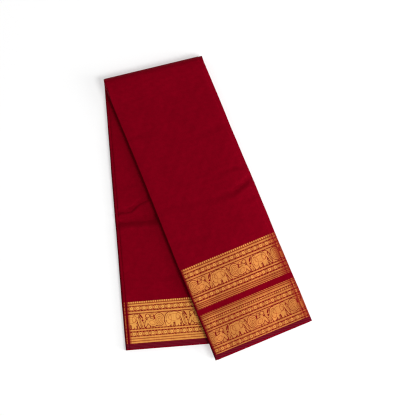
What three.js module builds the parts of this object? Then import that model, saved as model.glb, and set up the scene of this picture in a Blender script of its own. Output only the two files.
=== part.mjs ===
import * as THREE from 'three';

// A silk-cotton saree as a shop folds it. The whole length of cloth is folded, fold on fold, into a flat
// strip about thirty layers thick. The strip is as long as the loom is wide, so a woven border lies across
// each of its two ends. It is then turned over a slanting crease near its middle and laid on itself, so
// that its two legs open in a narrow V.
// Sizes are in millimetres and angles in degrees. +X is across the V, +Y points up to its crease, and +Z
// is up from the surface that it lies on.

const cloth = {
  loomWidth: 1170, // selvedge to selvedge, the length of the folded strip
  wall: 1.0, // a layer that shows, with the layer that it is folded with
  seam: 0.3, // between neighbouring stretches
};

const strip = {
  height: 10.6, // thirty layers pressed flat
  halfAtCrease: 99.5, // half the width of the hidden layers
  halfAtHem: 101.5,
  faceHalf: 96.8, // half the width of the layers that show
  fold: 0.9, // how deep the grooves between the folded layers are
};

const lay = {
  topTilt: 22.4, // the leg that lies on top, from -Y towards +X
  backTilt: 4.6, // the leg that lies below
  topLength: 600, // crease to hem along the middle
  hollow: 1.5, // inner radius of the turn
  settle: 60, // how far from the turn the top leg comes down onto the back leg
};

// The top leg bends down from the edges of the back leg to the surface that both lie on.
const slump = {
  clear: 5, // runs level this far past the back leg
  reach: 90, // and is down after this much more
};

// The long edges of a leg are pressed a little thinner than its middle.
const pressedEdge = {
  from: 84, // distance from the middle line
  to: 106,
  drop: 1.1,
};

// Stretches of the cloth that show, measured up from the hem.
const topStretches = [
  { name: 'top_selvedge', from: 0, to: 9.4, finish: 'selvedge', rows: 1 },
  { name: 'top_border_outer', from: 9.4, to: 95.5, finish: 'zari', rows: 4 },
  { name: 'top_band', from: 95.5, to: 107.1, finish: 'cloth', rows: 1 },
  { name: 'top_border_inner', from: 107.1, to: 197.5, finish: 'zari', rows: 4 },
];
const backStretches = [
  { name: 'back_selvedge', from: 0, to: 11.4, finish: 'selvedge', rows: 1 },
  { name: 'back_border', from: 11.4, to: 97.8, finish: 'zari', rows: 3 },
];

// Shallow fold marks across the legs. At and slope place the line, and slope is its rise over its run.
const foldMarks = {
  top: [
    { at: 267, slope: 0.05, half: 14, depth: 0.7 },
  ],
  back: [
    { at: 252, slope: -0.31, half: 11, depth: 0.6 },
    { at: 301, slope: 0.02, half: 12, depth: 0.8 },
  ],
};

// The hidden layers in seven bundles, from the outside of the turn to its inside. At the hems each bundle
// has slid sideways by topSlide and backSlide, and its ends stand out by topEnd and backEnd.
const bundles = [
  { topSlide: 4.4, backSlide: -0.6, topEnd: 0.6, backEnd: 0.4 },
  { topSlide: 3.0, backSlide: -1.6, topEnd: -0.5, backEnd: 1.0 },
  { topSlide: 0.6, backSlide: -0.2, topEnd: 0.9, backEnd: -0.4 },
  { topSlide: -2.2, backSlide: 0.9, topEnd: 0.1, backEnd: 0.7 },
  { topSlide: -4.4, backSlide: 0.2, topEnd: 0.7, backEnd: 0.1 },
  { topSlide: -3.9, backSlide: 1.6, topEnd: -0.3, backEnd: 0.9 },
  { topSlide: -2.8, backSlide: 2.4, topEnd: 0.5, backEnd: -0.2 },
];
// The layers that show. Shift is how far they have slid at the turn.
const topFace = { shift: -2.3, topSlide: -1.0, topEnd: 0 };
const backFace = { shift: 0, backSlide: 3.7, backEnd: 0 };

const finishes = {
  cloth: { color: 0x7b0115, roughness: 0.62, metalness: 0 },
  zari: { color: 0xcf8d3c, roughness: 0.42, metalness: 0.35 },
  selvedge: { color: 0x5c061d, roughness: 0.66, metalness: 0 },
};

// Worked out from the sizes above.
const outerRadius = strip.height + lay.hollow;
const turnSlant = THREE.MathUtils.degToRad((lay.topTilt - lay.backTilt) / 2);
const creaseTilt = (lay.topTilt + lay.backTilt) / 2;
const creaseReach = outerRadius / Math.cos(turnSlant);
const topWall = cloth.wall + cloth.seam;
const halfSeam = cloth.seam / 2;

// Unit vectors in plan: across a leg to its right, and down it to its hem.
function directions(tilt) {
  const angle = THREE.MathUtils.degToRad(tilt);
  return {
    across: new THREE.Vector2(Math.cos(angle), Math.sin(angle)),
    down: new THREE.Vector2(Math.sin(angle), -Math.cos(angle)),
  };
}

const turn = directions(creaseTilt);
const legs = {
  top: {
    ...directions(lay.topTilt),
    slant: Math.tan(turnSlant),
    length: lay.topLength - creaseReach,
    panelEnd: lay.topLength - creaseReach - topStretches.at(-1).to,
    marks: foldMarks.top,
    side: 1,
    stations: [-92, -74, -56, -38, -19, 0, 19, 38, 56, 74, 92],
    pastFace: [97],
    panelRows: 14,
  },
  back: {
    ...directions(lay.backTilt),
    slant: -Math.tan(turnSlant),
    length: cloth.loomWidth - lay.topLength - creaseReach,
    panelEnd: cloth.loomWidth - lay.topLength - creaseReach - backStretches.at(-1).to,
    marks: foldMarks.back,
    side: -1,
    stations: [-92, -62, -31, 0, 31, 62, 92],
    pastFace: [],
    panelRows: 8,
  },
};

const ease = (x) => THREE.MathUtils.smootherstep(x, 0, 1);

// A layer wound round the turn slides along the crease, and further the further out it lies.
function turnSlide(depth) {
  const middle = outerRadius - strip.height / 2;
  return (outerRadius - depth - middle) * (Math.PI / 2) * Math.tan(turnSlant);
}

// The middle and half width of a layer at distance v0 from the turn, on one leg.
function spanOnLeg(leg, layer, v0) {
  const share = THREE.MathUtils.clamp(v0 / leg.length, 0, 1);
  const slide = leg.side > 0 ? layer.topSlide : layer.backSlide;
  const atTurn = leg.side * turnSlide(layer.depth) + (layer.shift ?? 0);
  const middle = THREE.MathUtils.lerp(atTurn, slide, share);
  const half = layer.face
    ? strip.faceHalf
    : THREE.MathUtils.lerp(strip.halfAtCrease, strip.halfAtHem, share);
  return { middle, half: half - layer.inset };
}

// Rows are parallel to the crease at the turn and parallel to the hem from the border on.
function alongLeg(leg, u, v0) {
  const slant = Math.max(0, 1 - v0 / leg.panelEnd);
  return v0 + slant * leg.slant * u;
}

function planPoint(frame, u, v) {
  return new THREE.Vector2().addScaledVector(frame.across, u).addScaledVector(frame.down, v);
}

// How far the face of a leg is pressed down: along its edges and in its fold marks.
function pressed(leg, u, v) {
  const fadeIn = ease(v / lay.settle);
  const edge = (Math.abs(u) - pressedEdge.from) / (pressedEdge.to - pressedEdge.from);
  let drop = pressedEdge.drop * ease(edge);
  for (const mark of leg.marks) {
    const off = Math.abs(v - mark.at - mark.slope * u) / mark.half;
    drop += mark.depth * ease(1 - off);
  }
  return drop * fadeIn;
}

// The height of what lies under the top leg: the back leg, or the surface beside it.
function supportUnderTop(point) {
  const back = legs.back;
  const past = new THREE.Vector2(
    Math.max(0, point.dot(back.across) - strip.halfAtHem - backFace.backSlide),
    Math.max(0, point.dot(back.down) - back.length),
  ).length();
  const onBack = 1 - ease((past - slump.clear) / slump.reach);
  const fromTurn = point.dot(turn.down);
  const opened = (2 * lay.hollow - cloth.seam) * (1 - ease(fromTurn / lay.settle));
  return (strip.height + cloth.seam + opened) * onBack;
}

// A point of a layer on a leg. Depth is measured from the outside of the turn, so that it is down from
// the face on the top leg and up from the surface on the back leg.
function pointOnLeg(leg, layer, station, v0, out) {
  const span = spanOnLeg(leg, layer, v0);
  const u = stationPlace(station, span);
  const v = alongLeg(leg, u, v0) + out;
  const plan = planPoint(leg, u, v);
  const drop = pressed(leg, u, v);
  const rise = leg.side > 0 ? strip.height - layer.depth : layer.depth;
  const under = leg.side > 0 ? supportUnderTop(plan) : 0;
  return new THREE.Vector3(plan.x, plan.y, under + rise - (drop * rise) / strip.height);
}

// A point of a layer on the turn, at an angle from -90 on the back leg's side to 90 on the top leg's.
function pointOnTurn(layer, station, angle) {
  const phi = THREE.MathUtils.degToRad(angle);
  const radius = outerRadius - layer.depth;
  const half = (layer.face ? strip.faceHalf : strip.halfAtCrease) - layer.inset;
  const middle = (turnSlide(layer.depth) * phi) / (Math.PI / 2) + (layer.shift ?? 0);
  const along = stationPlace(station, { middle, half }) / Math.cos(turnSlant);
  const plan = planPoint(turn, along, -radius * Math.cos(phi) - halfSeam);
  return new THREE.Vector3(plan.x, plan.y, outerRadius + radius * Math.sin(phi));
}

function stationPlace(station, span) {
  if (station === 'left') return span.middle - span.half;
  if (station === 'right') return span.middle + span.half;
  return station;
}

// A closed slab of cloth. Rows run along the strip, stations across it and levels down through it. The
// first and last levels are whole faces, and the levels between are rims round them.
function slab(rows, stations, levels, place) {
  const last = { row: rows.length - 1, station: stations.length - 1 };
  const points = [];
  const triangles = [];
  const add = (row, station, level) => points.push(place(rows[row], stations[station], level)) - 1;

  const rim = [];
  for (let j = 0; j < last.station; j++) rim.push([0, j]);
  for (let i = 0; i < last.row; i++) rim.push([i, last.station]);
  for (let j = last.station; j > 0; j--) rim.push([last.row, j]);
  for (let i = last.row; i > 0; i--) rim.push([i, 0]);

  const face = (level) => rows.map((_, i) => stations.map((_, j) => add(i, j, level)));
  const faces = [face(levels[0]), face(levels.at(-1))];
  faces.forEach((grid, side) => {
    for (let i = 0; i < last.row; i++) {
      for (let j = 0; j < last.station; j++) {
        const [a, b, c, d] = [grid[i][j], grid[i][j + 1], grid[i + 1][j + 1], grid[i + 1][j]];
        triangles.push(...(side ? [a, c, b, a, d, c] : [a, b, c, a, c, d]));
      }
    }
  });

  const rims = [
    rim.map(([i, j]) => faces[0][i][j]),
    ...levels.slice(1, -1).map((level) => rim.map(([i, j]) => add(i, j, level))),
    rim.map(([i, j]) => faces[1][i][j]),
  ];
  for (let k = 0; k + 1 < rims.length; k++) {
    rim.forEach((_, n) => {
      const m = (n + 1) % rim.length;
      const [a, b, c, d] = [rims[k][n], rims[k][m], rims[k + 1][m], rims[k + 1][n]];
      triangles.push(a, c, b, a, d, c);
    });
  }
  return facingOut(points, triangles);
}

// A geometry whose faces point out, whichever way its levels ran.
function facingOut(points, triangles) {
  let volume = 0;
  for (let n = 0; n < triangles.length; n += 3) {
    const [a, b, c] = triangles.slice(n, n + 3).map((index) => points[index]);
    volume += a.dot(new THREE.Vector3().crossVectors(b, c));
  }
  if (volume < 0) triangles.reverse();
  const geometry = new THREE.BufferGeometry().setFromPoints(points);
  geometry.setIndex(triangles);
  geometry.computeVertexNormals();
  return geometry;
}

// The levels of a single wall, with rounded edges.
function wallLevels(face, outside, inside) {
  const middle = (outside + inside) / 2;
  const round = (inside - outside) / 2;
  return [
    { ...face, depth: outside, inset: round },
    { ...face, depth: middle, inset: 0 },
    { ...face, depth: inside, inset: round },
  ].map((level) => ({ ...level, face: true }));
}

// The levels of the hidden layers: a rounded lip for each bundle, with grooves between them.
function layeredLevels(outside, inside) {
  const thickness = (inside - outside) / bundles.length;
  const levels = [];
  bundles.forEach((bundle, n) => {
    const top = outside + n * thickness;
    levels.push({ ...bundle, depth: top, inset: strip.fold });
    levels.push({ ...bundle, depth: top + thickness * 0.28, inset: 0 });
    levels.push({ ...bundle, depth: top + thickness * 0.76, inset: 0 });
  });
  levels.push({ ...bundles.at(-1), depth: inside, inset: strip.fold });
  return levels;
}

// Row distances between two places on a leg, with the places of its fold marks added.
function rowsBetween(leg, from, to, count) {
  const rows = [];
  for (let n = 0; n <= count; n++) rows.push({ v0: THREE.MathUtils.lerp(from, to, n / count) });
  for (const mark of leg.marks) {
    for (const offset of [-mark.half, -mark.half / 2, 0, mark.half / 2, mark.half]) {
      const v0 = mark.at + offset;
      const crowded = rows.some((row, n) => n && n < count && Math.abs(row.v0 - v0) < mark.half / 3);
      if (v0 > from && v0 < to && !crowded) rows.push({ v0 });
    }
  }
  return rows.sort((a, b) => a.v0 - b.v0);
}

function panelRows(leg) {
  return rowsBetween(leg, 0, leg.panelEnd, leg.panelRows);
}

function stretchRows(leg, stretch) {
  return rowsBetween(leg, leg.length - stretch.to, leg.length - stretch.from, stretch.rows);
}

// Rows with both ends drawn back by half a seam, except at a hem, which stays where it is.
function seamed(leg, rows) {
  const hem = rows.at(-1).v0 > leg.length - halfSeam;
  const first = { v0: rows[0].v0 + halfSeam };
  const last = { v0: rows.at(-1).v0 - (hem ? 0 : halfSeam), hem };
  return [first, ...rows.slice(1, -1), last];
}

// Every row of a leg, for the layers that run on under the seams.
function allRows(leg, stretches) {
  const upward = [...stretches].reverse();
  return [...panelRows(leg), ...upward.flatMap((stretch) => stretchRows(leg, stretch).slice(1))];
}

function legSlab(leg, rows, levels) {
  const stations = ['left', ...leg.stations, ...(levels[0].face ? [] : leg.pastFace), 'right'];
  return slab(seamed(leg, rows), stations, levels, (row, station, level) => {
    const end = leg.side > 0 ? level.topEnd : level.backEnd;
    const out = row.hem ? end - level.inset / 2 : 0;
    return pointOnLeg(leg, level, station, row.v0, out);
  });
}

function turnSlab(levels) {
  const steps = 12;
  const rows = Array.from({ length: steps + 1 }, (_, n) => ({ angle: -90 + (180 * n) / steps }));
  return slab(rows, ['left', -92, 0, 92, 'right'], levels, (row, station, level) =>
    pointOnTurn(level, station, row.angle),
  );
}

const saree = new THREE.Group();

function addStretch(name, finish, geometry) {
  const mesh = new THREE.Mesh(geometry, new THREE.MeshStandardMaterial(finishes[finish]));
  mesh.name = name;
  saree.add(mesh);
}

const topFaceLevels = wallLevels(topFace, 0, cloth.wall);
const backFaceLevels = wallLevels(backFace, strip.height - cloth.wall, strip.height);

addStretch('top_panel', 'cloth', legSlab(legs.top, panelRows(legs.top), topFaceLevels));
for (const stretch of topStretches) {
  addStretch(
    stretch.name,
    stretch.finish,
    legSlab(legs.top, stretchRows(legs.top, stretch), topFaceLevels),
  );
}
addStretch('turn_panel', 'cloth', turnSlab(topFaceLevels));
addStretch('back_panel', 'cloth', legSlab(legs.back, panelRows(legs.back), backFaceLevels));
for (const stretch of backStretches) {
  addStretch(
    stretch.name,
    stretch.finish,
    legSlab(legs.back, stretchRows(legs.back, stretch), backFaceLevels),
  );
}

// The hidden layers: on the top leg, round the turn, and on the back leg down to the surface.
const underTopFace = layeredLevels(topWall, strip.height);
const underBackFace = layeredLevels(0, strip.height - topWall);
addStretch('layers_top', 'cloth', legSlab(legs.top, allRows(legs.top, topStretches), underTopFace));
addStretch('layers_turn', 'cloth', turnSlab(underTopFace));
addStretch('layers_back', 'cloth', legSlab(legs.back, allRows(legs.back, backStretches), underBackFace));

// The origin is at the middle of the whole, on the surface that it lies on.
const box = new THREE.Box3().setFromObject(saree);
const middle = box.getCenter(new THREE.Vector3());
saree.position.set(-middle.x, -middle.y, -box.min.z);

export default saree;
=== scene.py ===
import math

import bpy
import numpy as np
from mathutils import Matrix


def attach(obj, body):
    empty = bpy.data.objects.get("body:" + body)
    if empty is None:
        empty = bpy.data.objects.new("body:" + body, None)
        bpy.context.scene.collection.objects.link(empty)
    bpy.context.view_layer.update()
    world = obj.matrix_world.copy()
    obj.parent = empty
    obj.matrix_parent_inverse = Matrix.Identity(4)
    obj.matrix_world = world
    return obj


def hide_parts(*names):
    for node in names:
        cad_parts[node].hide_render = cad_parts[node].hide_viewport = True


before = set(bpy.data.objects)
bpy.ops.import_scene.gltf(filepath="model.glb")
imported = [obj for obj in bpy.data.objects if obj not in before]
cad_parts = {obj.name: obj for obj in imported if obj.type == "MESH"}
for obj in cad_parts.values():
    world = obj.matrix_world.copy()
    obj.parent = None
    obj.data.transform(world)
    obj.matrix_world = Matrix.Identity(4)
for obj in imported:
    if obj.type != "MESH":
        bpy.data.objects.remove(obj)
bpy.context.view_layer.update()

# A silk-cotton saree, folded into a long strip of thirty layers, turned over a slanting crease and laid on
# itself in a narrow V. Lengths are in millimetres until a mesh is made, and angles are in degrees.

# The fold, as the solids have it
fold = {
    "layers": 30,
    "height": 10.6,  # a leg's thickness
    "cloth": 0.24,  # the cloth's own thickness
    "hollow": 1.5,  # inner radius of the turn
    "turnMiddle": (-110.825, 275.142),  # in plan
    "hemHalf": 101.5,  # half a leg's width at its hem
    "hemTuck": 0.5,  # how much narrower the hidden layers are there
    "creaseHalf": 101.6,  # half their width at the turn
    "creaseShift": 0.8,  # how far right they lie at the turn
    "faceHalf": 96.8,  # half the width of the pairs of layers that show
    "legGap": 0.3,  # between the legs where they lie on each other
    "settle": 60,  # how far from the turn the top leg comes down onto the back leg
    "hemBend": 14,  # how far up from a hem its layers have been pulled
}

# The legs. The side is 1 for the leg on top and -1 for the one below, and the strip is the cloth from the crease
# to the hem. Seams are where the cloth changes, up from the hem, and kinds say which of their materials the
# hidden layers have up to each. Those layers lie in bundles that have slid and been pulled a little differently.
# A fold mark is a line across the leg: across and down give its points, depth how deep it is at each, and half
# its half width.
topLeg = {
    "side": 1,
    "tilt": 22.4,
    "strip": 600,
    "firstHidden": 2,
    "seams": (9.4, 95.5, 107.1, 197.5),  # selvedge, outer border, band, inner border
    "kinds": (1, 2, 0, 3),
    "turnShift": -2.3,  # how far right the pair of layers that shows has slid at the turn
    "faceSlide": -0.4,  # and at the hem
    "reach": 3.4,  # how much further left than right it reaches
    "lowReach": 2.8,  # and low on the leg besides
    "bow": 0,  # how far left the middle of the leg bows
    "slides": (5.4, 4.2, 0.6, -2.2, -4.4, -3.9, -2.8),  # of each bundle at the hem, outermost first
    "ends": (1.2, 0.4, 1.7, 0.9, 1.5, -0.3, 0.5),  # and how far its hem stands out
    "marks": [
        {"across": (10, 58, 82, 110), "down": (277, 282, 275, 267), "depth": (0, 1.5, 2.4, 2.8), "half": 7.5},
        {"across": (-95, -40, 30, 60), "down": (259, 268, 281, 285), "depth": (0.2, 0.7, 0.6, 0), "half": 9},
        {"across": (30, 70, 110), "down": (240, 237, 244), "depth": (0, 0.8, 1.2), "half": 6},
        {"across": (45, 80, 110), "down": (303, 309, 306), "depth": (0, 0.7, 1.1), "half": 6},
        {"across": (-110, -70, -20), "down": (96, 104, 109), "depth": (0.8, 0.6, 0), "half": 7},
        {"across": (-20, 40, 100), "down": (141, 150, 146), "depth": (0, 0.5, 0.4), "half": 8},
        {"across": (-100, -30, 60), "down": (334, 341, 352), "depth": (0.5, 0.4, 0), "half": 8},
    ],
}
backLeg = {
    "side": -1,
    "tilt": 4.6,
    "strip": 570,
    "firstHidden": 0,
    "seams": (11.4, 97.8),  # selvedge, border
    "kinds": (1, 2),
    "turnShift": 0,
    "faceSlide": 3.7,
    "reach": 0,
    "lowReach": 0,
    "bow": 0.5,
    "slides": (-0.6, -1.0, -0.2, 0.9, 0.2, 1.6, 2.4),
    "ends": (0.4, 1.0, -0.4, 0.7, 0.1, 0.9, -0.2),
    "marks": [
        {"across": (-104, -92, -36, 0), "down": (292.3, 291.6, 292, 293),
         "depth": (1.6, 3.4, 3.4, 2.8), "half": 9},
        {"across": (-104, -92, -68, -49, -32, 0), "down": (274, 273.5, 271.5, 257, 251, 243),
         "depth": (1.4, 2.6, 2.6, 2.6, 2.6, 1.6), "half": 5.2},
        {"across": (-110, -70, -30), "down": (216, 221, 214), "depth": (0.8, 0.6, 0), "half": 7},
        {"across": (-70, -30, 20), "down": (408, 414, 409), "depth": (0, 0.6, 0.6), "half": 7},
    ],
}
outerRadius = fold["height"] + fold["hollow"]
layerPitch = fold["height"] / fold["layers"]
turnSlant = math.radians((topLeg["tilt"] - backLeg["tilt"]) / 2)
creaseTilt = (topLeg["tilt"] + backLeg["tilt"]) / 2
creaseReach = outerRadius / math.cos(turnSlant)


def directions(tilt):
    angle = math.radians(tilt)
    return np.array([math.cos(angle), math.sin(angle)]), np.array([math.sin(angle), -math.cos(angle)])


for leg in (topLeg, backLeg):
    leg["across"], leg["down"] = directions(leg["tilt"])
    leg["length"] = leg["strip"] - creaseReach
    leg["panelEnd"] = leg["length"] - leg["seams"][-1]
    leg["slant"] = leg["side"] * math.tan(turnSlant)
creaseAcross, creaseDown = directions(creaseTilt)


def ease(x):
    x = np.clip(x, 0, 1)
    return x * x * x * (x * (x * 6 - 15) + 10)


# How far the slant of the crease moves a layer sideways on its way round the turn
def turnSlide(depth):
    return (fold["height"] / 2 - depth) * (math.pi / 2) * math.tan(turnSlant)


# The shape of a fold mark, in its half widths: the slope and the crest below its line, and where its painted shade
# lies
markShape = {
    "slope": 1.7, "crestAt": 2.0, "crestHalf": 0.9, "crestHeight": 0.3, "markShadeAt": 1.2, "markShadeHalf": 1.4,
}


# How deep each fold mark is at a place, and how many half widths below its line the place is
def markPlaces(leg, u, v):
    for mark in leg["marks"]:
        line = np.interp(u, mark["across"], mark["down"])
        yield np.interp(u, mark["across"], mark["depth"], left=0, right=0), (v - line) / mark["half"]


# Painted shade on the lower side of each fold mark, where its wall faces away from the light: how much at each
# place
def paintedMarkShade(leg, u, v):
    at, half = markShape["markShadeAt"], markShape["markShadeHalf"]
    return sum(depth * ease(1 - np.abs(off - at) / half) for depth, off in markPlaces(leg, u, v))


# The pressed long edges: how far they drop and round over, on the left and on the right
pressedEdges = {
    "from": 84, "to": 106, "drops": (0.2, 0.9),
    "rollFrom": 93, "rollTo": 105, "rolls": (0.45, 0.8),
}
# Slow unevenness of the pressed cloth: how high it is, how long across and down the leg, and where it starts
slack = [
    (0.06, 41, 17, 1.0), (0.06, -16, 13, 0.4), (0.05, 9, 15, 2.2), (0.07, -7.5, 6.1, 0.9),
    (0.07, 5.2, 5.1, 2.9), (0.07, 19, 3.6, 1.7), (0.03, 2.8, 23, 0.6), (0.05, -3.9, 3.1, 2.1),
    (0.05, 3.3, 4.4, 0.2), (0.06, -40, 5.3, 2.6),
]
# Fine gathers beside the crease: their height and length, how they sway, and where they start, fade and end
gathers = {
    "height": 0.2, "length": 2.1, "lean": 31, "sway": 1.3, "swayAcross": 19, "swayDown": 40,
    "start": 10, "fade": 34, "end": 60,
}


# How far a leg's face is pressed down: along its edges, in its fold marks, in slow waves and in gathers
def pressed(leg, u, v):
    drop = 0
    for amounts, start, end in (
        (pressedEdges["drops"], pressedEdges["from"], pressedEdges["to"]),
        (pressedEdges["rolls"], pressedEdges["rollFrom"], pressedEdges["rollTo"]),
    ):
        drop = drop + np.where(u < 0, *amounts) * ease((np.abs(u) - start) / (end - start))
    for depth, off in markPlaces(leg, u, v):
        trough = ease(1 - np.where(off < 0, -off, off / markShape["slope"]))
        crest = ease(1 - np.abs(off - markShape["crestAt"]) / markShape["crestHalf"])
        drop = drop + depth * (trough - markShape["crestHeight"] * crest)
    for amount, acrossLength, downLength, turn in slack:
        drop = drop + amount * (1 + np.sin(v / downLength + u / acrossLength + turn * leg["side"]))
    drop = drop * ease(v / fold["settle"])
    beside = ease(v / gathers["start"]) * ease((gathers["end"] - v) / gathers["fade"])
    sway = gathers["sway"] * np.sin(u / gathers["swayAcross"] + v / gathers["swayDown"])
    ripple = 1 + np.sin(v / gathers["length"] + u / gathers["lean"] + sway)
    return drop + gathers["height"] * ripple * beside


# Where the top leg bends down past the back leg's edges
slump = {"beside": 4.6, "clear": 5, "reach": 150}


def supportUnderTop(x, y):
    across = x * backLeg["across"][0] + y * backLeg["across"][1]
    down = x * backLeg["down"][0] + y * backLeg["down"][1]
    pastSide = np.maximum(0, across - fold["hemHalf"] - slump["beside"])
    pastHem = np.maximum(0, down - backLeg["length"])
    onBack = 1 - ease((np.hypot(pastSide, pastHem) - slump["clear"]) / slump["reach"])
    fromTurn = x * creaseDown[0] + y * creaseDown[1]
    opened = (2 * fold["hollow"] - fold["legGap"]) * (1 - ease(fromTurn / fold["settle"]))
    return (fold["height"] + fold["legGap"] + opened) * onBack


# How far down a leg the points of a row are. Rows slant with the crease, and less and less away from it.
def rowDown(leg, u, v0):
    return v0 + max(0, 1 - v0 / leg["panelEnd"]) * leg["slant"] * u


# Points of a leg, across it by u, down it by v and at a depth from the outside of the turn
def onLeg(leg, u, v, depth):
    x = u * leg["across"][0] + v * leg["down"][0]
    y = u * leg["across"][1] + v * leg["down"][1]
    share = 1 - pressed(leg, u, v) / fold["height"]
    if leg is topLeg:
        return np.stack([x, y, supportUnderTop(x, y) + (fold["height"] - depth) * share], 1)
    return np.stack([x, y, depth * share], 1)


def onTurn(u, angle, depth):
    radius = outerRadius - depth
    along = u / math.cos(turnSlant)
    back = -radius * math.cos(math.radians(angle))
    x = along * creaseAcross[0] + back * creaseDown[0]
    y = along * creaseAcross[1] + back * creaseDown[1]
    return np.stack([x, y, outerRadius + radius * math.sin(math.radians(angle))], 1)


# The section of a strip of folded cloth. The layers go to and fro between its two long edges, and each fold
# is a small half round. Both faces of the cloth are listed, point for point. A point stands at u, or else at an
# edge: its side says which, and its shift how far from there. The first layer may have places of its own.
def foldedSection(layers, stations, startSide, firstStations=None):
    depths = [(n + 0.5) * layerPitch for n in layers]
    down = 1 if depths[-1] > depths[0] else -1
    faces = []
    for face in (1, -1):
        points = []
        for n, depth in enumerate(depths):
            travel = -startSide * (-1) ** n
            offset = -face * down * (-1) ** n * fold["cloth"] / 2
            places = firstStations if n == 0 and firstStations is not None else stations
            if n == 0:
                points.append((-travel, 0, 0.0, depth + offset, layers[n]))
            for u in places[:: travel]:
                points.append((0, u, 0.0, depth + offset, layers[n]))
            if n + 1 == len(depths):
                points.append((travel, 0, 0.0, depth + offset, layers[n]))
                continue
            outer = (layerPitch + fold["cloth"]) / 2
            radius = outer if (face > 0) == (n % 2 == 0) else (layerPitch - fold["cloth"]) / 2
            middle = (depth + depths[n + 1]) / 2
            for theta in (-80, -40, 0, 40, 80):
                t = math.radians(theta)
                inward = outer - radius * math.cos(t)
                place = middle + down * radius * math.sin(t)
                points.append((travel, 0, -travel * inward, place, (layers[n] + layers[n + 1]) / 2))
        faces.append(points)
    ring = np.array(faces[0] + faces[1][::-1], float)
    return {"side": ring[:, 0], "u": ring[:, 1], "shift": ring[:, 2], "depth": ring[:, 3], "layer": ring[:, 4]}


# Which bundle each hidden layer lies in
def bundleOf(leg, layer):
    share = (layer - leg["firstHidden"]) / (fold["layers"] - 2)
    return np.clip((share * len(leg["slides"])).astype(int), 0, len(leg["slides"]) - 1)


wobbler = np.random.default_rng(5)
wobbles = wobbler.uniform(0, 2 * math.pi, (fold["layers"] + 1, 3))
jitters = wobbler.uniform(-1, 1, (fold["layers"] + 1, 3))
wander = {
    "reachGrows": 50, "lowReachFrom": 150, "lowReachGrows": 300,  # where the left edge moves out
    "face": 0.25, "faceLength": 41,  # how far and over what length a visible pair's edges wave
    "hidden": 0.35, "hiddenLength": 37, "fine": 0.4, "fineLength": 13, "hiddenGrows": 6,  # and a hidden layer's
    "slide": 0.5, "end": 0.3,  # how far a single layer strays from its bundle
}


# Where the long edges of each layer are at v0, and how far its hem stands out
def edges(section, leg, v0, shows):
    index = section["layer"].astype(int)
    share = v0 / leg["length"]
    atTurn = leg["side"] * turnSlide(section["depth"])
    if shows:
        atTurn = atTurn + leg["turnShift"]
        slide = leg["faceSlide"]
        reach = leg["reach"] * ease(np.array(v0 / wander["reachGrows"]))
        lowShare = (v0 - wander["lowReachFrom"]) / wander["lowReachGrows"]
        reach = reach + leg["lowReach"] * ease(np.array(lowShare))
        half = np.where(section["side"] < 0, fold["faceHalf"] + reach, fold["faceHalf"])
        wobble = wander["face"] * share ** 0.5 * np.sin(v0 / wander["faceLength"] + wobbles[index, 0])
        end = 0.0
    else:
        atTurn = atTurn + fold["creaseShift"]
        bundle = bundleOf(leg, section["layer"])
        slide = np.array(leg["slides"])[bundle] + wander["slide"] * jitters[index, 0]
        end = np.array(leg["ends"])[bundle] + wander["end"] * jitters[index, 1]
        half = fold["creaseHalf"] + share * (fold["hemHalf"] - fold["hemTuck"] - fold["creaseHalf"])
        wave = np.sin(v0 / wander["hiddenLength"] + wobbles[index, 1])
        wave = wave + np.sin(v0 / wander["fineLength"] + wobbles[index, 2]) * wander["fine"]
        wobble = wander["hidden"] * ease(np.array(share * wander["hiddenGrows"])) * wave
    middle = atTurn + share * (slide - atTurn) - leg["bow"] * math.sin(math.pi * share)
    atEdge = middle + section["side"] * half + wobble + section["shift"]
    return np.where(section["side"] == 0, section["u"], atEdge), end


def signedVolume(points, faces):
    a, b, c, d = (points[faces[:, n]] for n in range(4))
    return float(np.sum(np.cross(a, b) * c) + np.sum(np.cross(a, c) * d))


# A closed mesh of a section carried through rows. Each row gives its points in millimetres, and kinds say
# which of the materials the cloth has between one row and the next.
def clothMesh(name, section, rows, materials, kinds=None):
    count = len(section["side"])
    points = np.concatenate([row["points"] for row in rows])
    points = (points + np.array([*fold["turnMiddle"], 0])) / 1000
    flat = np.concatenate([row["flat"] for row in rows]) / 1000
    last = len(rows) - 1
    i, j = np.meshgrid(np.arange(last), np.arange(count), indexing="ij")
    k = (j + 1) % count
    quads = np.stack([i * count + j, i * count + k, (i + 1) * count + k, (i + 1) * count + j], -1).reshape(-1, 4)
    n = np.arange(count // 2 - 1)
    cap = np.stack([n, count - 1 - n, count - 2 - n, n + 1], -1)
    faces = np.concatenate([quads, cap, (cap + last * count)[:, ::-1]])
    mesh = bpy.data.meshes.new(name)
    mesh.from_pydata(points.tolist(), [], faces.tolist())
    if signedVolume(points, faces) < 0:
        mesh.flip_normals()
    # painted shade of the fold marks, kept on the points
    markShade = mesh.attributes.new("markShade", "FLOAT", "POINT")
    markShade.data.foreach_set("value", np.concatenate([row["markShade"] for row in rows]).astype(np.float32))
    layer = mesh.uv_layers.new(name="cloth")
    corner = np.empty(len(mesh.loops), int)
    mesh.loops.foreach_get("vertex_index", corner)
    layer.uv.foreach_set("vector", flat[corner].astype(np.float32).ravel())
    for material in materials:
        mesh.materials.append(material)
    if kinds is not None:
        index = np.repeat([*kinds, kinds[0], kinds[-1]], [count] * last + [len(cap)] * 2)
        mesh.polygons.foreach_set("material_index", index.astype(np.int32))
    mesh.polygons.foreach_set("use_smooth", np.ones(len(mesh.polygons), bool))
    mesh.set_sharp_from_angle(angle=math.radians(50))
    mesh.update()
    piece = bpy.data.objects.new(name, mesh)
    bpy.context.scene.collection.objects.link(piece)
    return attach(piece, "root")


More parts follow.
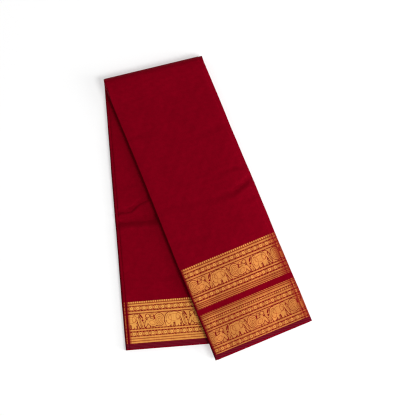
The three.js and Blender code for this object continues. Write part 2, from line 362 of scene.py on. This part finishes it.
def legRows(leg, section, places, shows=False):
    rows = []
    for v0 in places:
        u, end = edges(section, leg, v0, shows)
        out = end * ease(np.array((v0 - leg["length"] + fold["hemBend"]) / fold["hemBend"]))
        down = rowDown(leg, u, v0)
        rows.append({
            "points": onLeg(leg, u, down + out, section["depth"]),
            "flat": np.stack([u, leg["length"] - v0 + 0 * u], 1),
            "v0": v0,
            "markShade": paintedMarkShade(leg, u, down),
        })
    return rows


def turnRows(section, shows=False):
    rows = []
    half = fold["faceHalf"] if shows else fold["creaseHalf"]
    shift = topLeg["turnShift"] if shows else fold["creaseShift"]
    for angle in np.linspace(-90, 90, 19):  # every ten degrees
        middle = turnSlide(section["depth"]) * angle / 90 + shift
        atEdge = middle + section["side"] * half + section["shift"]
        u = np.where(section["side"] == 0, section["u"], atEdge)
        along = topLeg["strip"] + outerRadius * math.radians(90 - angle)
        rows.append({
            "points": onTurn(u, angle, section["depth"]),
            "flat": np.stack([u, along + 0 * u], 1),
            "markShade": 0 * u,
        })
    return rows


def spaced(start, end, step):
    return np.linspace(start, end, max(2, round((end - start) / step) + 1))


# Node helpers
def wire(tree, value, socket):
    if isinstance(value, bpy.types.NodeSocket):
        tree.links.new(value, socket)
    else:
        socket.default_value = value


def addNode(tree, kind, inputs=None, **settings):
    made = tree.nodes.new("ShaderNode" + kind)
    for key, value in settings.items():
        setattr(made, key, value)
    for key, value in (inputs or {}).items():
        wire(tree, value, made.inputs[key])
    return made


def calc(tree, operation, *values):
    return addNode(tree, "Math", dict(enumerate(values)), operation=operation).outputs[0]


def vecCalc(tree, operation, *values, output=0):
    return addNode(tree, "VectorMath", dict(enumerate(values)), operation=operation).outputs[output]


def scaled(tree, vector, factor):
    result = vecCalc(tree, "SCALE", vector)
    wire(tree, factor, result.node.inputs["Scale"])
    return result


def blendValue(tree, factor, a, b):
    return addNode(tree, "Mix", {0: factor, 2: a, 3: b}, data_type="FLOAT").outputs[0]


def blendColour(tree, factor, a, b):
    return addNode(tree, "Mix", {0: factor, 6: a, 7: b}, data_type="RGBA").outputs[2]


def wrapped(tree, x, width):
    return calc(tree, "WRAP", x, width / 2, -width / 2)


def near(tree, x, middle, reach):
    return calc(tree, "COMPARE", x, middle, reach)


# A node group that turns a place on the cloth, in millimetres, into how much gold shows there
def goldGroup(name, draw):
    tree = bpy.data.node_groups.new(name, "ShaderNodeTree")
    tree.interface.new_socket("Place", in_out="INPUT", socket_type="NodeSocketVector")
    tree.interface.new_socket("Gold", in_out="OUTPUT", socket_type="NodeSocketFloat")
    source = tree.nodes.new("NodeGroupInput")
    sink = tree.nodes.new("NodeGroupOutput")
    split = addNode(tree, "SeparateXYZ", {0: source.outputs[0]})
    tree.links.new(draw(tree, split.outputs[0], split.outputs[1]), sink.inputs[0])
    return tree


# How far outside an oval a place is, in millimetres, below 0 inside it
def ovalReach(tree, place, x, y, halfWide, halfHigh, lean):
    local = addNode(tree, "Mapping", {
        "Vector": place,
        "Location": (x, y, 0),
        "Rotation": (0, 0, -math.radians(lean)),
        "Scale": (halfWide, halfHigh, 1),
    }, vector_type="TEXTURE").outputs[0]
    size = min(halfWide, halfHigh)
    return calc(tree, "MULTIPLY_ADD", vecCalc(tree, "LENGTH", local, output=1), size, -size)


# Ovals joined into one figure, in gold with a thin dark outline
def paintFigure(tree, place, ovals, ink):
    reach = 99.0  # farther out than any oval
    for oval in ovals:
        reach = calc(tree, "MINIMUM", reach, ovalReach(tree, place, *oval))
    inOutline = calc(tree, "LESS_THAN", reach, frieze["outline"])
    value = blendValue(tree, inOutline, frieze["ground"], frieze["outlineInk"])
    return blendValue(tree, calc(tree, "LESS_THAN", reach, 0.0), value, ink)


# Strokes over it. A stroke with a width is an outline, and else it is filled. Ink is how much gold it has.
def paintStrokes(tree, place, ground, strokes):
    value = ground
    for x, y, halfWide, halfHigh, lean, width, ink in strokes:
        reach = ovalReach(tree, place, x, y, halfWide, halfHigh, lean)
        if width:
            inside = near(tree, reach, 0.0, width / 2)
        else:
            inside = calc(tree, "LESS_THAN", reach, 0.0)
        value = blendValue(tree, inside, value, ink)
    return value


# The frieze: x, y, half width, half height and lean of each oval, in millimetres and degrees, from the lower
# left corner of its elephant or bird. A stroke has its own width and ink after them.
frieze = {
    "repeat": 89.6,
    "ground": 0.84,  # how much gold lies between the figures
    "outline": 1.1,
    "outlineInk": 0.02,
    "elephant": [
        (19.0, 18.0, 16.0, 10.6, 0),
        (9.0, 14.5, 8.4, 13.2, 4),
        (6.2, 5.4, 4.0, 6.6, 4),
        (13.9, 5.2, 3.5, 6.4, 0),
        (23.9, 5.2, 3.7, 6.4, 0),
        (30.0, 5.6, 2.7, 7.0, -6),
        (31.6, 20.6, 7.6, 8.0, 10),
        (37.4, 12.4, 2.4, 11.6, -12),
    ],
    "elephantInk": 0.95,
    "elephantStrokes": [
        (20.4, 3.0, 1.2, 5.6, 0, 0, 0.02),
        (12.2, 1.2, 0.8, 3.4, 0, 0, 0.05),
        (34.4, 11.2, 0.9, 7.6, -14, 0, 0.02),
        (31.8, 3.0, 0.7, 3.6, -10, 0, 0.05),
        (3.4, 10.6, 1.1, 1.5, 0, 0, 0.1),
        (28.2, 19.4, 4.4, 6.8, 8, 0.9, 0.42),
        (19.5, 17.6, 11.2, 6.8, 0, 0.8, 0.56),
        (8.8, 14.8, 5.2, 9.6, 4, 0.8, 0.5),
        (34.6, 22.6, 0.8, 0.8, 0, 0, 0.1),
        (40.4, 12.6, 2.5, 11.4, -12, 0.9, 0.16),
    ],
    # the end of a stroke beside the bird that lies in the elephant's field, on the front's frieze and the back's
    "cutStroke": {"front": (-0.6, 24.2, 1.6, 6.0, 34, 0, 0.03), "back": (42.2, 24.2, 1.6, 6.0, -34, 0, 0.03)},
    "birdStart": 41.6,
    "birdWidth": 48.0,
    "bird": [
        (11.0, 15.2, 10.2, 12.8, 0),
        (25.4, 9.6, 9.6, 6.8, -28),
        (31.6, 18.4, 3.0, 7.0, 8),
        (34.2, 24.4, 3.6, 3.0, 0),
        (37.4, 9.4, 2.4, 7.6, -18),
    ],
    "birdInk": 0.92,
    "birdStrokes": [
        (11.0, 14.9, 7.7, 9.9, 0, 0.9, 0.36),
        (11.0, 14.6, 5.0, 6.8, 0, 0.9, 0.42),
        (11.0, 14.3, 2.2, 3.4, 0, 0.9, 0.4),
        (20.8, 20.6, 1.5, 4.6, 10, 0, 0.04),
        (25.0, 24.6, 3.0, 3.0, 0, 1.0, 0.1),
        (25.4, 9.6, 5.9, 3.6, -28, 0.8, 0.5),
        (24.6, 1.4, 0.9, 2.4, 0, 0, 0.06),
        (29.8, 1.6, 0.9, 2.2, 0, 0, 0.06),
        (34.2, 23.9, 4.0, 3.8, 0, 1.1, 0.14),
        (37.8, 18.8, 0.9, 2.2, 30, 0, 0.12),
        (45.0, 15.6, 2.1, 2.2, 0, 0, 0.04),
        (42.8, 10.6, 1.0, 1.7, 0, 0, 0.1),
        (47.4, 24.2, 1.6, 6.0, 34, 0, 0.03),
        (41.6, 5.4, 0.7, 3.4, -25, 0, 0.12),
        (46.2, 3.4, 0.7, 2.8, 15, 0, 0.14),
    ],
}


# On the back leg the birds face the other way
def drawFrieze(leg):
    def draw(tree, x, y):
        x = calc(tree, "WRAP", x, frieze["repeat"], 0.0)
        start = calc(tree, "SUBTRACT", x, frieze["birdStart"])
        if leg == "back":
            start = calc(tree, "SUBTRACT", frieze["birdWidth"], start)
        onElephant = addNode(tree, "CombineXYZ", {0: x, 1: y}).outputs[0]
        elephant = paintFigure(tree, onElephant, frieze["elephant"], frieze["elephantInk"])
        strokes = frieze["elephantStrokes"] + [frieze["cutStroke"][leg]]
        elephant = paintStrokes(tree, onElephant, elephant, strokes)
        onBird = addNode(tree, "CombineXYZ", {0: start, 1: y}).outputs[0]
        bird = paintFigure(tree, onBird, frieze["bird"], frieze["birdInk"])
        bird = paintStrokes(tree, onBird, bird, frieze["birdStrokes"])
        return blendValue(tree, calc(tree, "GREATER_THAN", x, frieze["birdStart"]), elephant, bird)
    return draw


# The small repeats: the step from one to the next, the size or half width of each, and how much gold is
# in it and beside it
smallRepeats = {
    "beads": {"step": 12.75, "size": 3.4, "beside": 0.78},
    "smallBeads": {"step": 4.55, "size": 1.6, "beside": 0.78},
    "dots": {"step": 6.375, "half": 1.3, "ink": 0.42, "beside": 0.05},
    "twill": {"step": 5.4, "half": 1.6, "ink": 0.72, "beside": 0.12},
    "teeth": {"step": 4.53, "half": 1.3, "ink": 0.98, "beside": 0.3, "height": 4.2},
}


# Rings with a dark rim and a spot in the middle, and dark spots in the corners between them
def drawBeads(kind):
    step, size = smallRepeats[kind]["step"], smallRepeats[kind]["size"]
    strokes = [
        (0, 0, size + 0.4, size + 0.4, 0, 1.0, 0.2),
        (0, 0, size, size, 0, 0, 1.0),
        (0, 0, size * 0.3, size * 0.3, 0, 0, 0.5),
    ]
    for right, up in ((1, 1), (-1, 1), (1, -1), (-1, -1)):
        strokes.append((right * step / 2, up * size, step * 0.16, size * 0.3, 0, 0, 0.1))

    def draw(tree, x, y):
        local = addNode(tree, "CombineXYZ", {0: wrapped(tree, x, step), 1: y}).outputs[0]
        return paintStrokes(tree, local, smallRepeats[kind]["beside"], strokes)
    return draw


# Upright marks, side by side
def drawMarks(tree, kind, x):
    values = smallRepeats[kind]
    onMark = near(tree, wrapped(tree, x, values["step"]), 0.0, values["half"])
    return blendValue(tree, onMark, values["beside"], values["ink"])


def drawDots(tree, x, y):
    return drawMarks(tree, "dots", x)


# and slanting
def drawTwill(tree, x, y):
    return drawMarks(tree, "twill", calc(tree, "ADD", y, x))


# Teeth that stand on a thin dark line
def drawTeeth(tree, x, y):
    row = drawMarks(tree, "teeth", x)
    row = calc(tree, "MULTIPLY", row, calc(tree, "LESS_THAN", y, smallRepeats["teeth"]["height"]))
    return blendValue(tree, near(tree, y, 0.5, 0.5), row, 0.2)


patterns = {
    "frieze": goldGroup("frieze", drawFrieze("front")),
    "friezeBack": goldGroup("friezeBack", drawFrieze("back")),
    "beads": goldGroup("beads", drawBeads("beads")),
    "smallBeads": goldGroup("smallBeads", drawBeads("smallBeads")),
    "dots": goldGroup("dots", drawDots),
    "twill": goldGroup("twill", drawTwill),
    "teeth": goldGroup("teeth", drawTeeth),
}
standing = ("frieze", "friezeBack", "teeth")  # measured from the band's lower edge, the others from its middle
plain = {"gold": 0.86, "dim": 0.34, "dark": 0.06, "cloth": 0.0}


def linear(red, green, blue):
    def one(x):
        x /= 255
        return x / 12.92 if x <= 0.04045 else ((x + 0.055) / 1.055) ** 2.4
    return (one(red), one(green), one(blue), 1.0)


# A value that changes across the strip, from a list of places in millimetres and values
def profile(tree, x, stops):
    half = 110.0
    share = addNode(tree, "MapRange", {"Value": x, "From Min": -half, "From Max": half}).outputs[0]
    ramp = addNode(tree, "ValToRGB", {0: share})
    places = ramp.color_ramp.elements
    places.remove(places[1])
    places[0].position = (stops[0][0] + half) / (2 * half)
    places[0].color = (stops[0][1],) * 3 + (1,)
    for place, value in stops[1:]:
        places.new((place + half) / (2 * half)).color = (value, value, value, 1)
    return ramp.outputs[0]


reds = {
    "body": linear(127, 1, 22),
    "selvedge": linear(101, 1, 25),
    "rib": linear(146, 52, 60),
    "hem": linear(135, 4, 26),
}
# Slubs in both directions, slow changes of tone and blotches: how often each changes, for a millimetre across
# and along the cloth, and its detail
clothNoise = {
    "weft": ((0.03, 1.3, 1.0), 2.0),
    "warp": ((1.1, 0.02, 1.0), 2.0),
    "cloudy": ((0.033, 0.027, 1.0), 4.0),
    "blotchy": ((0.11, 0.15, 1.0), 3.0),
}
clothShader = {
    "Roughness": 0.62,
    "Specular IOR Level": 0.05,
    "Specular Tint": (1.0, 0.03, 0.14, 1.0),
    "Sheen Weight": 0.04,
    "Sheen Roughness": 0.4,
    "Sheen Tint": (1.0, 0.01, 0.12, 1.0),
}
clothTone = {  # how much each noise and the painted shade of the fold marks change the red, and what is added
    "slubs": (0.16, 0.84),
    "cloudy": (0.2, 0.76),
    "blotchy": 0.28,
    "markShade": (-0.07, 1.0),
}
weaveWaves = {"Scale": 0.7, "Distortion": 0.6}
weaveBump = {"Distance": 0.00003, "Strength": 0.5}
goldThread = {
    "step": (0.45, 0.45, 1.0),  # the smallest step of a woven figure, across and along
    "thin": 0.8,  # the tone of the thinnest gold, as a share of the dark one
    "darkAt": 0.6,  # how much gold has the dark tone
    "coversAt": 0.55,  # how much hides the cloth under it
    "shine": (0.5, 0.5),  # how much the slubs brighten it, and what is added
    "metallic": 0.2,
    "smoother": -0.17,
}
ribTint = 0.16  # how much of the rib's own red shows, on average
hemHeight = 1.3


def noise(tree, flat, kind):
    often, detail = clothNoise[kind]
    return addNode(tree, "TexNoise", {
        "Vector": vecCalc(tree, "MULTIPLY", flat, often), "Scale": 1.0, "Detail": detail,
    }, noise_dimensions="2D").outputs[0]


# How much gold a border has at x, y. Its bands run up from the hem: where each ends, what is woven in it, and
# where its repeat starts.
def wovenGold(tree, x, y, zari):
    gold = 0.0
    low = zari["start"]
    for high, kind, begin in zari["bands"]:
        middle, half = (low + high) / 2, (high - low) / 2
        if kind in plain:
            ink = plain[kind]
        else:
            origin = low if kind in standing else middle
            place = addNode(tree, "CombineXYZ", {
                0: calc(tree, "ADD", x, begin), 1: calc(tree, "SUBTRACT", y, origin),
            }).outputs[0]
            ink = addNode(tree, "Group", {0: place}, node_tree=patterns[kind]).outputs[0]
        gold = blendValue(tree, near(tree, y, middle, half), gold, ink)
        low = high
    # less gold at the sides, partly the turned folds, partly painted shade where the edges roll away and a painted
    # shadow line in the step along the right edge
    return calc(tree, "MULTIPLY", gold, profile(tree, x, zari["goldShownAndShade"]))


# Fine ribs, and the hem's last threads below them
def ribbed(tree, x, y, ground, ribs):
    along = calc(tree, "MULTIPLY_ADD", x, ribs["slant"], y)
    line = calc(tree, "SINE", calc(tree, "MULTIPLY", along, 2 * math.pi / ribs["pitch"]))
    share = calc(tree, "MULTIPLY_ADD", line, ribTint, ribTint)
    ground = blendColour(tree, share, ground, reds["rib"])
    return blendColour(tree, calc(tree, "LESS_THAN", y, hemHeight), ground, reds["hem"])


# The gold's colour, from thin gold to dense, brighter with the slubs, and with painted highlight and shade across
# the strip where a border has them
def goldColour(tree, x, gold, slubs, zari):
    ramp = addNode(tree, "ValToRGB", {0: gold})
    stops = ramp.color_ramp.elements
    stops[0].color = tuple(c * goldThread["thin"] for c in zari["dark"][:3]) + (1,)
    stops.new(goldThread["darkAt"]).color = zari["dark"]
    stops[-1].color = zari["bright"]
    shine = calc(tree, "MULTIPLY_ADD", slubs, *goldThread["shine"])
    # painted highlight along the pressed fold, and painted shade towards the right edge
    if "goldLightAndShade" in zari:
        shine = calc(tree, "MULTIPLY", shine, calc(tree, "MULTIPLY", profile(tree, x, zari["goldLightAndShade"]), 2.0))
    return scaled(tree, ramp.outputs[0], shine)


# Silk-cotton cloth, plain, ribbed or with a border's gold in it
def clothMaterial(name, ribs=None, zari=None):
    material = bpy.data.materials.new(name)
    material.use_nodes = True
    tree = material.node_tree
    tree.nodes.clear()
    flat = scaled(tree, addNode(tree, "UVMap", uv_map="cloth").outputs[0], 1000.0)
    threads = addNode(tree, "SeparateXYZ", {0: vecCalc(tree, "SNAP", flat, goldThread["step"])})
    x, y = threads.outputs[0], threads.outputs[1]
    gold = wovenGold(tree, x, y, zari) if zari else 0.0

    slubs = calc(tree, "ADD", noise(tree, flat, "weft"), noise(tree, flat, "warp"))
    tone = calc(tree, "MULTIPLY_ADD", slubs, *clothTone["slubs"])
    cloudy = calc(tree, "MULTIPLY_ADD", noise(tree, flat, "cloudy"), *clothTone["cloudy"])
    tone = calc(tree, "MULTIPLY", tone, cloudy)
    tone = calc(tree, "MULTIPLY_ADD", noise(tree, flat, "blotchy"), clothTone["blotchy"], tone)
    # painted shade along the lower side of the fold marks
    markShade = addNode(tree, "Attribute", attribute_name="markShade").outputs["Fac"]
    tone = calc(tree, "MULTIPLY", tone, calc(tree, "MULTIPLY_ADD", markShade, *clothTone["markShade"]))
    # the borders' cloth painted darker towards the left edge, as painted shade on the side away from the light
    if zari and "edgeShade" in zari:
        tone = calc(tree, "MULTIPLY", tone, profile(tree, x, zari["edgeShade"]))
    colour = scaled(tree, reds["selvedge" if ribs else "body"][:3], tone)

    if ribs:
        colour = ribbed(tree, x, y, colour, ribs)
    weave = addNode(tree, "TexWave", {
        "Vector": vecCalc(tree, "MULTIPLY", flat, (1.0, 1.0, 0.0)), **weaveWaves,
    }, wave_type="BANDS", bands_direction="DIAGONAL").outputs[1]
    if zari:
        metal = goldColour(tree, x, gold, slubs, zari)
        reach = {"Value": gold, "From Min": 0.0, "From Max": goldThread["coversAt"]}
        cover = addNode(tree, "MapRange", reach).outputs[0]
        colour = blendColour(tree, cover, colour, metal)

    bump = addNode(tree, "Bump", {"Height": weave, **weaveBump}).outputs[0]
    shader = addNode(tree, "BsdfPrincipled", {"Base Color": colour, "Normal": bump, **clothShader})
    if zari:
        wire(tree, calc(tree, "MULTIPLY", cover, goldThread["metallic"]), shader.inputs["Metallic"])
        roughness = calc(tree, "MULTIPLY_ADD", cover, goldThread["smoother"], clothShader["Roughness"])
        wire(tree, roughness, shader.inputs["Roughness"])
    output = addNode(tree, "OutputMaterial")
    tree.links.new(shader.outputs[0], output.inputs[0])
    return material


# The zari borders, with the gold's darkest and brightest tones; the back leg's tones are brighter than the top
# leg's, as painted sheen where the light catches its zari. Across the strip, lists of places say how much of the
# gold shows, little on the turned folds at the sides, with painted shade where the edges roll away and a painted
# shadow line in the step along the right edge; how bright the cloth is, painted darker towards the left edge as
# painted shade; and how bright the gold is, with a painted highlight along the pressed fold near the left edge and
# painted shade towards the right edge of the inner border, where 0.5 leaves it as it is.
# Painted shade: how bright the top leg's border cloth is towards its left edge
frontEdgeShade = [(-104.5, 0.66), (-101.5, 0.76), (-99.6, 0.86), (-97.6, 1.0)]
outerBorder = {
    "start": 9.4,
    "bands": [
        (11.2, "gold", 0), (12.9, "dots", 3.1), (20.0, "beads", 7.1), (22.2, "dots", 0.5), (25.4, "gold", 0),
        (27.9, "dots", 2.0), (57.2, "frieze", 58.4), (59.1, "dark", 0), (61.9, "gold", 0), (64.4, "dots", 2.1),
        (71.6, "beads", 3.3), (73.9, "dots", 0), (77.0, "gold", 0), (78.8, "dim", 0), (81.8, "smallBeads", 0.4),
        (84.1, "dots", 2.6), (86.8, "gold", 0), (94.9, "twill", 0), (96.0, "cloth", 0),
    ],
    "goldShownAndShade": [
        (-102.0, 0.0), (-100.4, 0.5), (-98.4, 0.9), (-96.6, 1.0), (88.0, 1.0), (94.8, 0.62), (95.8, 0.2),
        (97.2, 0.2), (97.9, 0.78), (100.8, 0.72), (101.8, 0.35), (106.0, 0.35),
    ],
    "edgeShade": frontEdgeShade,
    "goldLightAndShade": [(-96.0, 0.5), (-86.5, 0.61), (-75.5, 0.61), (-67.0, 0.5), (60.0, 0.5), (70.0, 0.53), (90.0, 0.51)],
    "dark": linear(173, 84, 42),
    "bright": linear(221, 143, 73),
}
innerBorder = {
    "start": 106.4,
    "bands": [
        (117.3, "twill", 1.5), (118.8, "dim", 0), (121.3, "gold", 0), (124.3, "dots", 0.7), (131.1, "beads", 10.9),
        (133.3, "dark", 0), (136.2, "gold", 0), (138.7, "dots", 3.3), (168.5, "frieze", 52.4), (170.4, "dark", 0),
        (173.4, "gold", 0), (176.1, "dots", 0.2), (183.4, "beads", 9.0), (185.8, "dots", 4.0), (188.7, "gold", 0),
        (190.2, "dim", 0), (197.5, "teeth", 0.8),
    ],
    "goldShownAndShade": [
        (-102.0, 0.0), (-100.4, 0.5), (-98.4, 0.9), (-96.6, 1.0), (85.0, 1.0), (90.0, 0.75), (94.8, 0.5),
        (95.8, 0.16), (97.2, 0.16), (97.9, 0.66), (100.8, 0.62), (101.8, 0.3), (106.0, 0.3),
    ],
    "edgeShade": frontEdgeShade,
    "goldLightAndShade": [(-96.0, 0.49), (-86.5, 0.59), (-75.5, 0.59), (-67.0, 0.5), (40.0, 0.49), (60.0, 0.44), (90.0, 0.43)],
    "dark": linear(182, 89, 45),
    "bright": linear(237, 155, 80),
}
backBorder = {
    "start": 12.1,
    "bands": [
        (15.2, "gold", 0), (17.0, "dim", 0), (20.0, "gold", 0), (21.7, "dim", 0), (24.8, "gold", 0),
        (27.0, "dots", 0.4), (34.5, "beads", 5.5), (36.7, "dots", 1.6), (39.3, "gold", 0), (41.7, "dots", 2.4),
        (71.2, "friezeBack", 18.0), (73.2, "dark", 0), (76.3, "gold", 0), (78.6, "dots", 1.9),
        (86.7, "beads", 6.9), (88.5, "dots", 0.1), (91.1, "gold", 0), (92.4, "dim", 0), (98.5, "teeth", 2.0),
    ],
    "goldShownAndShade": [
        (-98.9, 0.0), (-98.5, 0.5), (-96.7, 0.5), (-96.3, 0.0), (-92.2, 0.0), (-91.4, 0.35), (-87.6, 1.0),
    ],
    # brighter than the top leg's gold, as painted sheen where the light catches the back leg's zari
    "dark": linear(208, 112, 54),
    "bright": linear(255, 179, 90),
}
bodyCloth = clothMaterial("bodyCloth")
outerZari = clothMaterial("outerZari", zari=outerBorder)
innerZari = clothMaterial("innerZari", zari=innerBorder)
backZari = clothMaterial("backZari", zari=backBorder)
frontRibs = clothMaterial("frontRibs", ribs={"slant": 0.6, "pitch": 4.4})
backRibs = clothMaterial("backRibs", ribs={"slant": 0.0, "pitch": 3.0})
print("materials made")

# The visible pairs of layers, stretch by stretch, each from one seam to the next. The one on the outside of each
# pair has more points across it.
topSelvedgeEnd, outerBorderEnd, bandEnd, innerBorderEnd = topLeg["seams"]
backSelvedgeEnd, backBorderEnd = backLeg["seams"]
topStations = np.linspace(-88, 88, 17)
topFace = foldedSection([0, 1], topStations, -1, np.linspace(-93.5, 93.5, 76))
backFace = foldedSection([29, 28], topStations[1:], 1, np.linspace(-91.5, 93.5, 75))
turnFace = foldedSection([0, 1], np.linspace(-90, 90, 5), -1)

stretches = [
    {"name": "topPanel", "node": "top_panel", "leg": topLeg, "from": innerBorderEnd, "to": topLeg["length"],
     "material": bodyCloth, "slot": "body_cloth", "step": 3.0},
    {"name": "topBorderInner", "node": "top_border_inner", "leg": topLeg, "from": bandEnd, "to": innerBorderEnd,
     "material": innerZari, "slot": "zari_border", "step": 3.0},
    {"name": "topBand", "node": "top_band", "leg": topLeg, "from": outerBorderEnd, "to": bandEnd,
     "material": bodyCloth, "slot": "body_cloth", "step": 3.0},
    {"name": "topSelvedge", "node": "top_selvedge", "leg": topLeg, "from": 0, "to": topSelvedgeEnd,
     "material": frontRibs, "slot": "selvedge", "step": 2.4},
    {"name": "topBorderOuter", "node": "top_border_outer", "leg": topLeg, "from": topSelvedgeEnd,
     "to": outerBorderEnd, "material": outerZari, "slot": "zari_border", "step": 3.0},
    {"name": "backPanel", "node": "back_panel", "leg": backLeg, "from": backBorderEnd, "to": backLeg["length"],
     "material": bodyCloth, "slot": "body_cloth", "step": 3.0},
    {"name": "backBorder", "node": "back_border", "leg": backLeg, "from": backSelvedgeEnd, "to": backBorderEnd,
     "material": backZari, "slot": "zari_border", "step": 3.0},
    {"name": "backSelvedge", "node": "back_selvedge", "leg": backLeg, "from": 0, "to": backSelvedgeEnd,
     "material": backRibs, "slot": "selvedge", "step": 2.4},
]
for stretch in stretches:
    leg = stretch["leg"]
    section = topFace if leg is topLeg else backFace
    places = spaced(leg["length"] - stretch["to"], leg["length"] - stretch["from"], stretch["step"])
    rows = legRows(leg, section, places, shows=True)
    piece = clothMesh(stretch["name"], section, rows, [stretch["material"]])
    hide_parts(stretch["node"])
    if piece.name == "topSelvedge":  # too shallow for a sheet of its own; nothing more is done with it here
        continue
turnPanel = clothMesh("turnPanel", turnFace, turnRows(turnFace, shows=True), [bodyCloth])
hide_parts("turn_panel")
print("visible layers made")

# The hidden layers. Their folds show along the edges, and gold threads on some of them.
topHidden = foldedSection(list(range(2, 30)), [-95.0, *np.linspace(-88, 88, 15), 95.0], -1)
backHidden = foldedSection(list(range(0, 28)), [-93.0, -60, -20, 20, 60, 93.0], -1)
turnHidden = foldedSection(list(range(2, 30)), [-90.0, -30, 30, 90.0], -1)


hiddenSteps = {"near": 5, "nearEnds": 45, "far": 10}  # rows lie closer near the crease


# Places of the rows, with one at every seam and where the hem's bend starts
def hiddenPlaces(leg):
    ups = sorted([*leg["seams"], fold["hemBend"]], reverse=True)
    ends = [hiddenSteps["nearEnds"]] + [leg["length"] - up for up in ups] + [leg["length"]]
    places = list(spaced(0, hiddenSteps["nearEnds"], hiddenSteps["near"]))
    for a, b in zip(ends, ends[1:]):
        places += list(spaced(a, b, hiddenSteps["far"])[1:])
    return places


# Which of its materials a leg has at a height
def kindAt(leg, up):
    for seam, kind in zip(leg["seams"], leg["kinds"]):
        if up < seam:
            return kind
    return 0


def hiddenLeg(name, leg, section, materials):
    rows = legRows(leg, section, hiddenPlaces(leg))
    kinds = [kindAt(leg, leg["length"] - (a["v0"] + b["v0"]) / 2) for a, b in zip(rows, rows[1:])]
    return clothMesh(name, section, rows, materials, kinds)


layersTop = hiddenLeg("layersTop", topLeg, topHidden, [bodyCloth, frontRibs, outerZari, innerZari])
layersBack = hiddenLeg("layersBack", backLeg, backHidden, [bodyCloth, backRibs, backZari])
layersTurn = clothMesh("layersTurn", turnHidden, turnRows(turnHidden), [bodyCloth])
for piece, node, length in (
    (layersTop, "layers_top", topLeg["length"]),
    (layersBack, "layers_back", backLeg["length"]),
    (layersTurn, "layers_turn", math.pi * (outerRadius - fold["height"] / 2)),
):
    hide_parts(node)
print("hidden layers made")

# Floor, in metres, a hair below the cloth
floorHalf, floorHeight = 6, -0.0003
floorLook = {
    "Base Color": (0.6, 0.6, 0.6, 1),
    "Emission Color": (1, 1, 1, 1),
    "Emission Strength": 0.51,
    "Roughness": 0.9,
    "Specular IOR Level": 0.0,
}
corners = [(x * floorHalf, y * floorHalf, floorHeight) for x, y in ((-1, -1), (1, -1), (1, 1), (-1, 1))]
floorMesh = bpy.data.meshes.new("floor")
floorMesh.from_pydata(corners, [], [(0, 1, 2, 3)])
floor = bpy.data.objects.new("floor", floorMesh)
bpy.context.scene.collection.objects.link(floor)
floorMaterial = bpy.data.materials.new("floorWhite")
floorMaterial.use_nodes = True
for socket, value in floorLook.items():
    floorMaterial.node_tree.nodes["Principled BSDF"].inputs[socket].default_value = value
floorMesh.materials.append(floorMaterial)

# Studio light, in metres and watts
world = bpy.data.worlds.new("studio")
bpy.context.scene.world = world
world.use_nodes = True
world.node_tree.nodes["Background"].inputs["Color"].default_value = (1, 1, 1, 1)
world.node_tree.nodes["Background"].inputs["Strength"].default_value = 0.2
lights = {
    "main": {"place": (2.6, -1.0, 3.52), "size": 2.0, "watts": 126},
    "low": {"place": (4.15, -0.93, 1.35), "size": 2.6, "watts": 122},
    "fill": {"place": (-2.9, 2.0, 2.6), "size": 2.0, "watts": 26},
}


# A round soft light that faces the origin
def softLight(name, place, size, watts):
    data = bpy.data.lights.new(name, "AREA")
    data.shape = "DISK"
    data.size = size
    data.energy = watts
    light = bpy.data.objects.new(name, data)
    light.location = place
    aim = np.array(place) * -1.0
    flat = math.hypot(aim[0], aim[1])
    light.rotation_euler = (math.pi / 2 - math.atan2(-aim[2], flat), 0, math.atan2(aim[1], aim[0]) - math.pi / 2)
    bpy.context.scene.collection.objects.link(light)


for name, values in lights.items():
    softLight(name, **values)

# The camera looks straight down, and a pixel of the photograph is 2.04 mm on the floor
view = {"height": 6.0, "pixels": 416, "pixel": 0.00204, "sensor": 36}
camera = bpy.data.objects.new("camera", bpy.data.cameras.new("camera"))
camera.data.sensor_width = view["sensor"]
camera.data.lens = view["sensor"] * view["height"] / (view["pixels"] * view["pixel"])
camera.data.clip_end = 100
camera.location = (0, 0.0005, view["height"])  # a quarter of a pixel up
bpy.context.scene.collection.objects.link(camera)
bpy.context.scene.camera = camera
bpy.context.scene.view_settings.view_transform = "Standard"
bpy.context.scene.cycles.filter_width = 1.2  # as crisp as the photograph
print("floor, lights and camera made")
